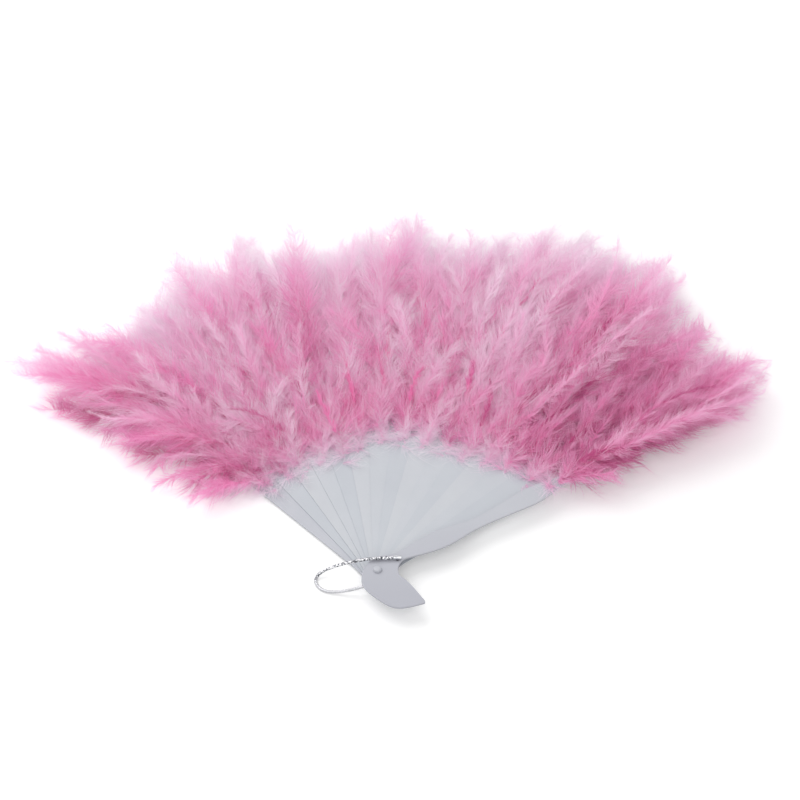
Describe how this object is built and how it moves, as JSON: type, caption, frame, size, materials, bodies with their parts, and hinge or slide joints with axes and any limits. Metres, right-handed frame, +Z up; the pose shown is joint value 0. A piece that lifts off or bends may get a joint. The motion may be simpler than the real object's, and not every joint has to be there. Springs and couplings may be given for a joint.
{
  "type": "folding feather fan",
  "caption": "Folding hand fan of thin plastic sticks on one rivet, with soft marabou plumes on every stick, a waisted front guard with a curved tail, and a wrist cord loop.",
  "frame": {"origin": "middle of the flat back face of the pivot rivet's head, on the table that the open fan lies on", "axes": "+Z up along the pivot axis, from the rear guard to the front guard; +Y from the pivot towards the feathers; +X towards the front guard's side"},
  "size_m": [0.5003, 0.3298, 0.0343],
  "materials": {
    "stick_plastic": "satin",
    "rivet_plastic": "satin",
    "marabou": "matte",
    "satin_ribbon": "satin",
    "silver_cord": "satin",
    "clip_metal": "satin"
  },
  "bodies": {
    "rear_guard": {"rear_guard": "stick_plastic", "plume_00": "marabou", "pivot_rivet": "rivet_plastic", "rivet_cap": "rivet_plastic", "spacer_washer": "rivet_plastic", "ribbon_01": "satin_ribbon"},
    "stave_01": {"stave_01": "stick_plastic", "plume_01": "marabou", "ribbon_02": "satin_ribbon"},
    "stave_02": {"stave_02": "stick_plastic", "plume_02": "marabou", "ribbon_03": "satin_ribbon"},
    "stave_03": {"stave_03": "stick_plastic", "plume_03": "marabou", "ribbon_04": "satin_ribbon"},
    "stave_04": {"stave_04": "stick_plastic", "plume_04": "marabou", "ribbon_05": "satin_ribbon"},
    "stave_05": {"stave_05": "stick_plastic", "plume_05": "marabou", "ribbon_06": "satin_ribbon"},
    "stave_06": {"stave_06": "stick_plastic", "plume_06": "marabou", "ribbon_07": "satin_ribbon"},
    "stave_07": {"stave_07": "stick_plastic", "plume_07": "marabou", "ribbon_08": "satin_ribbon"},
    "stave_08": {"stave_08": "stick_plastic", "plume_08": "marabou", "ribbon_09": "satin_ribbon"},
    "stave_09": {"stave_09": "stick_plastic", "plume_09": "marabou", "ribbon_10": "satin_ribbon"},
    "stave_10": {"stave_10": "stick_plastic", "plume_10": "marabou", "ribbon_11": "satin_ribbon"},
    "stave_11": {"stave_11": "stick_plastic", "plume_11": "marabou", "ribbon_12": "satin_ribbon"},
    "stave_12": {"stave_12": "stick_plastic", "plume_12": "marabou", "ribbon_13": "satin_ribbon"},
    "stave_13": {"stave_13": "stick_plastic", "plume_13": "marabou", "ribbon_14": "satin_ribbon"},
    "front_guard": {"front_guard": "stick_plastic", "plume_14": "marabou", "cord_clip": "clip_metal", "wrist_cord": "silver_cord"}
  },
  "joints": [
    {"name": "front_guard_fold", "type": "hinge", "parent": "rear_guard", "child": "front_guard", "pos_m": [0, 0, 0], "axis": [0, 0, 1], "range_deg": [0, 99.5], "deforming": ["plume_14"]},
    {"name": "stave_01_fold", "type": "hinge", "parent": "rear_guard", "child": "stave_01", "pos_m": [0, 0, 0], "axis": [0, 0, 1], "range_deg": [0, 7.11], "deforming": ["plume_00", "plume_01"]},
    {"name": "stave_02_fold", "type": "hinge", "parent": "rear_guard", "child": "stave_02", "pos_m": [0, 0, 0], "axis": [0, 0, 1], "range_deg": [0, 14.21], "deforming": ["plume_02"]},
    {"name": "stave_03_fold", "type": "hinge", "parent": "rear_guard", "child": "stave_03", "pos_m": [0, 0, 0], "axis": [0, 0, 1], "range_deg": [0, 21.32], "deforming": ["plume_03"]},
    {"name": "stave_04_fold", "type": "hinge", "parent": "rear_guard", "child": "stave_04", "pos_m": [0, 0, 0], "axis": [0, 0, 1], "range_deg": [0, 28.43], "deforming": ["plume_04"]},
    {"name": "stave_05_fold", "type": "hinge", "parent": "rear_guard", "child": "stave_05", "pos_m": [0, 0, 0], "axis": [0, 0, 1], "range_deg": [0, 35.54], "deforming": ["plume_05"]},
    {"name": "stave_06_fold", "type": "hinge", "parent": "rear_guard", "child": "stave_06", "pos_m": [0, 0, 0], "axis": [0, 0, 1], "range_deg": [0, 42.64], "deforming": ["plume_06"]},
    {"name": "stave_07_fold", "type": "hinge", "parent": "rear_guard", "child": "stave_07", "pos_m": [0, 0, 0], "axis": [0, 0, 1], "range_deg": [0, 49.75], "deforming": ["plume_07"]},
    {"name": "stave_08_fold", "type": "hinge", "parent": "rear_guard", "child": "stave_08", "pos_m": [0, 0, 0], "axis": [0, 0, 1], "range_deg": [0, 56.86], "deforming": ["plume_08"]},
    {"name": "stave_09_fold", "type": "hinge", "parent": "rear_guard", "child": "stave_09", "pos_m": [0, 0, 0], "axis": [0, 0, 1], "range_deg": [0, 63.97], "deforming": ["plume_09"]},
    {"name": "stave_10_fold", "type": "hinge", "parent": "rear_guard", "child": "stave_10", "pos_m": [0, 0, 0], "axis": [0, 0, 1], "range_deg": [0, 71.07], "deforming": ["plume_10"]},
    {"name": "stave_11_fold", "type": "hinge", "parent": "rear_guard", "child": "stave_11", "pos_m": [0, 0, 0], "axis": [0, 0, 1], "range_deg": [0, 78.18], "deforming": ["plume_11"]},
    {"name": "stave_12_fold", "type": "hinge", "parent": "rear_guard", "child": "stave_12", "pos_m": [0, 0, 0], "axis": [0, 0, 1], "range_deg": [0, 85.29], "deforming": ["plume_12"]},
    {"name": "stave_13_fold", "type": "hinge", "parent": "rear_guard", "child": "stave_13", "pos_m": [0, 0, 0], "axis": [0, 0, 1], "range_deg": [0, 92.39], "deforming": ["plume_13"]}
  ],
  "couplings": [
    {"joint": "stave_01_fold", "follows": "front_guard_fold", "ratio": 0.071429},
    {"joint": "stave_02_fold", "follows": "front_guard_fold", "ratio": 0.14286},
    {"joint": "stave_03_fold", "follows": "front_guard_fold", "ratio": 0.21429},
    {"joint": "stave_04_fold", "follows": "front_guard_fold", "ratio": 0.28571},
    {"joint": "stave_05_fold", "follows": "front_guard_fold", "ratio": 0.35714},
    {"joint": "stave_06_fold", "follows": "front_guard_fold", "ratio": 0.42857},
    {"joint": "stave_07_fold", "follows": "front_guard_fold", "ratio": 0.5},
    {"joint": "stave_08_fold", "follows": "front_guard_fold", "ratio": 0.57143},
    {"joint": "stave_09_fold", "follows": "front_guard_fold", "ratio": 0.64286},
    {"joint": "stave_10_fold", "follows": "front_guard_fold", "ratio": 0.71429},
    {"joint": "stave_11_fold", "follows": "front_guard_fold", "ratio": 0.78571},
    {"joint": "stave_12_fold", "follows": "front_guard_fold", "ratio": 0.85714},
    {"joint": "stave_13_fold", "follows": "front_guard_fold", "ratio": 0.92857}
  ]
}
